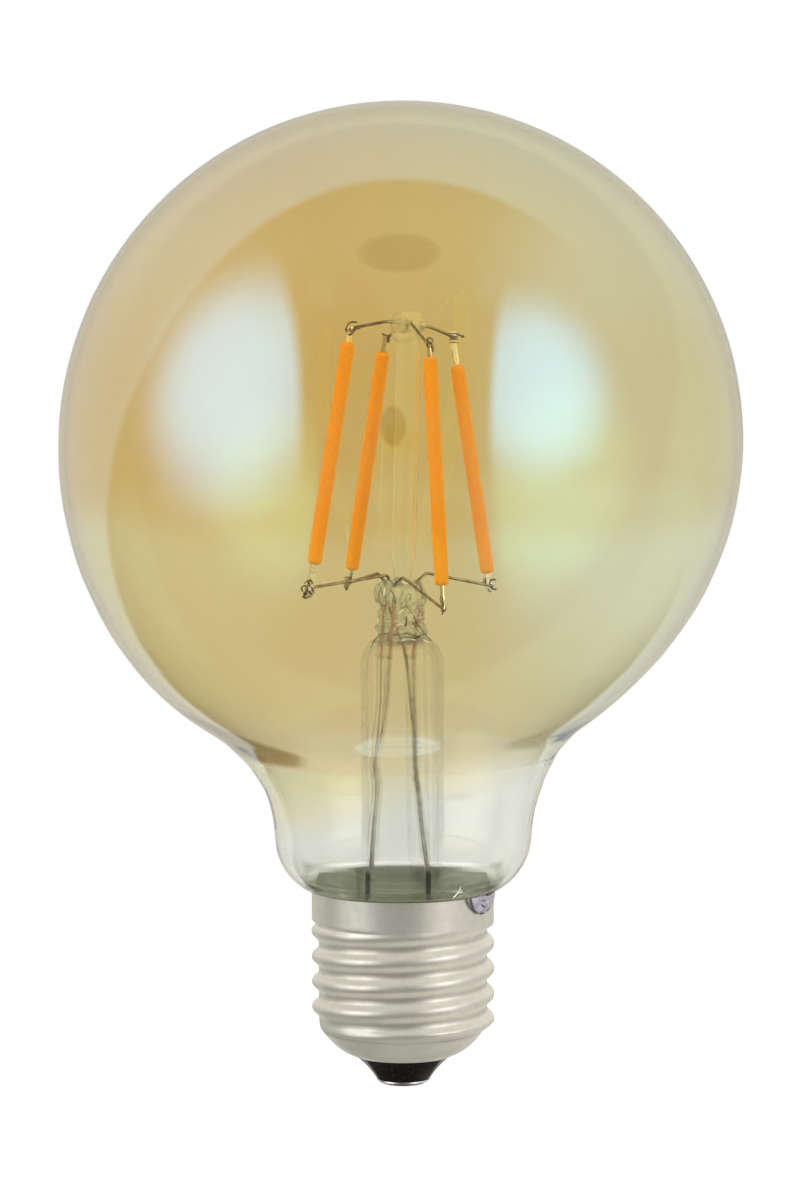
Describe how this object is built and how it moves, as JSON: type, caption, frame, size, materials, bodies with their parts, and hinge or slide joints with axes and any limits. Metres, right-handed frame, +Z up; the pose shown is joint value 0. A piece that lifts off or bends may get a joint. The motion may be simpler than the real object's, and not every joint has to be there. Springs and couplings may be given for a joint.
{
  "type": "globe bulb",
  "caption": "Globe filament bulb: a thin blown glass sphere with a short neck on a rolled screw cap, with upright coated filaments on a glass stem.",
  "frame": {"origin": "on the bulb's axis, in the lowest face of the centre contact", "axes": "+Z up the bulb's axis from the contact to the top of the globe; the picture looks along +Y, with +X to its right"},
  "size_m": [0.0966, 0.0966, 0.14],
  "materials": {
    "globe_glass": "thin clear glass with an amber lustre inside, fading out at the neck",
    "stem_glass": "clear glass, olive and half opaque at its foot",
    "filament_coating": "yellow-orange silicone",
    "tab_metal": "bright",
    "support_metal": "drawn wire",
    "seal_metal": "copper clad",
    "lead_metal": "drawn wire",
    "sleeve_plastic": "dark sleeve",
    "cap_metal": "satin",
    "insulator_glass": "black, glossy",
    "contact_metal": "tinned",
    "solder": "dull, rough",
    "cement": "matte",
    "board": "white solder mask",
    "capacitor_sleeve": "black",
    "rectifier_case": "black",
    "resistor_coating": "green lacquer"
  },
  "bodies": {
    "root": {"glass_globe": "globe_glass", "stem_flare": "stem_glass", "support_rod": "stem_glass", "exhaust_tube": "stem_glass", "filament_1": "filament_coating", "filament_2": "filament_coating", "filament_3": "filament_coating", "filament_4": "filament_coating", "upper_tab_1": "tab_metal", "upper_tab_2": "tab_metal", "upper_tab_3": "tab_metal", "upper_tab_4": "tab_metal", "lower_tab_1": "tab_metal", "lower_tab_2": "tab_metal", "lower_tab_3": "tab_metal", "lower_tab_4": "tab_metal", "upper_support_wire_1": "support_metal", "upper_support_wire_2": "support_metal", "upper_support_wire_3": "support_metal", "upper_support_wire_4": "support_metal", "lower_support_wire_1": "support_metal", "lower_support_wire_2": "support_metal", "lower_support_wire_3": "support_metal", "lower_support_wire_4": "support_metal", "seal_wire_1": "seal_metal", "seal_wire_2": "seal_metal", "seal_wire_3": "seal_metal", "seal_wire_4": "seal_metal", "lead_wire_1": "lead_metal", "lead_wire_2": "lead_metal", "lead_wire_3": "lead_metal", "lead_wire_4": "lead_metal", "side_lead": "lead_metal", "lead_sleeve_left": "sleeve_plastic", "lead_sleeve_right": "sleeve_plastic", "cap_shell": "cap_metal", "cap_insulator": "insulator_glass", "centre_contact": "contact_metal", "side_solder": "solder", "cap_cement": "cement", "driver_board": "board", "smoothing_capacitor": "capacitor_sleeve", "bridge_rectifier": "rectifier_case", "fuse_resistor": "resistor_coating"}
  },
  "joints": []
}
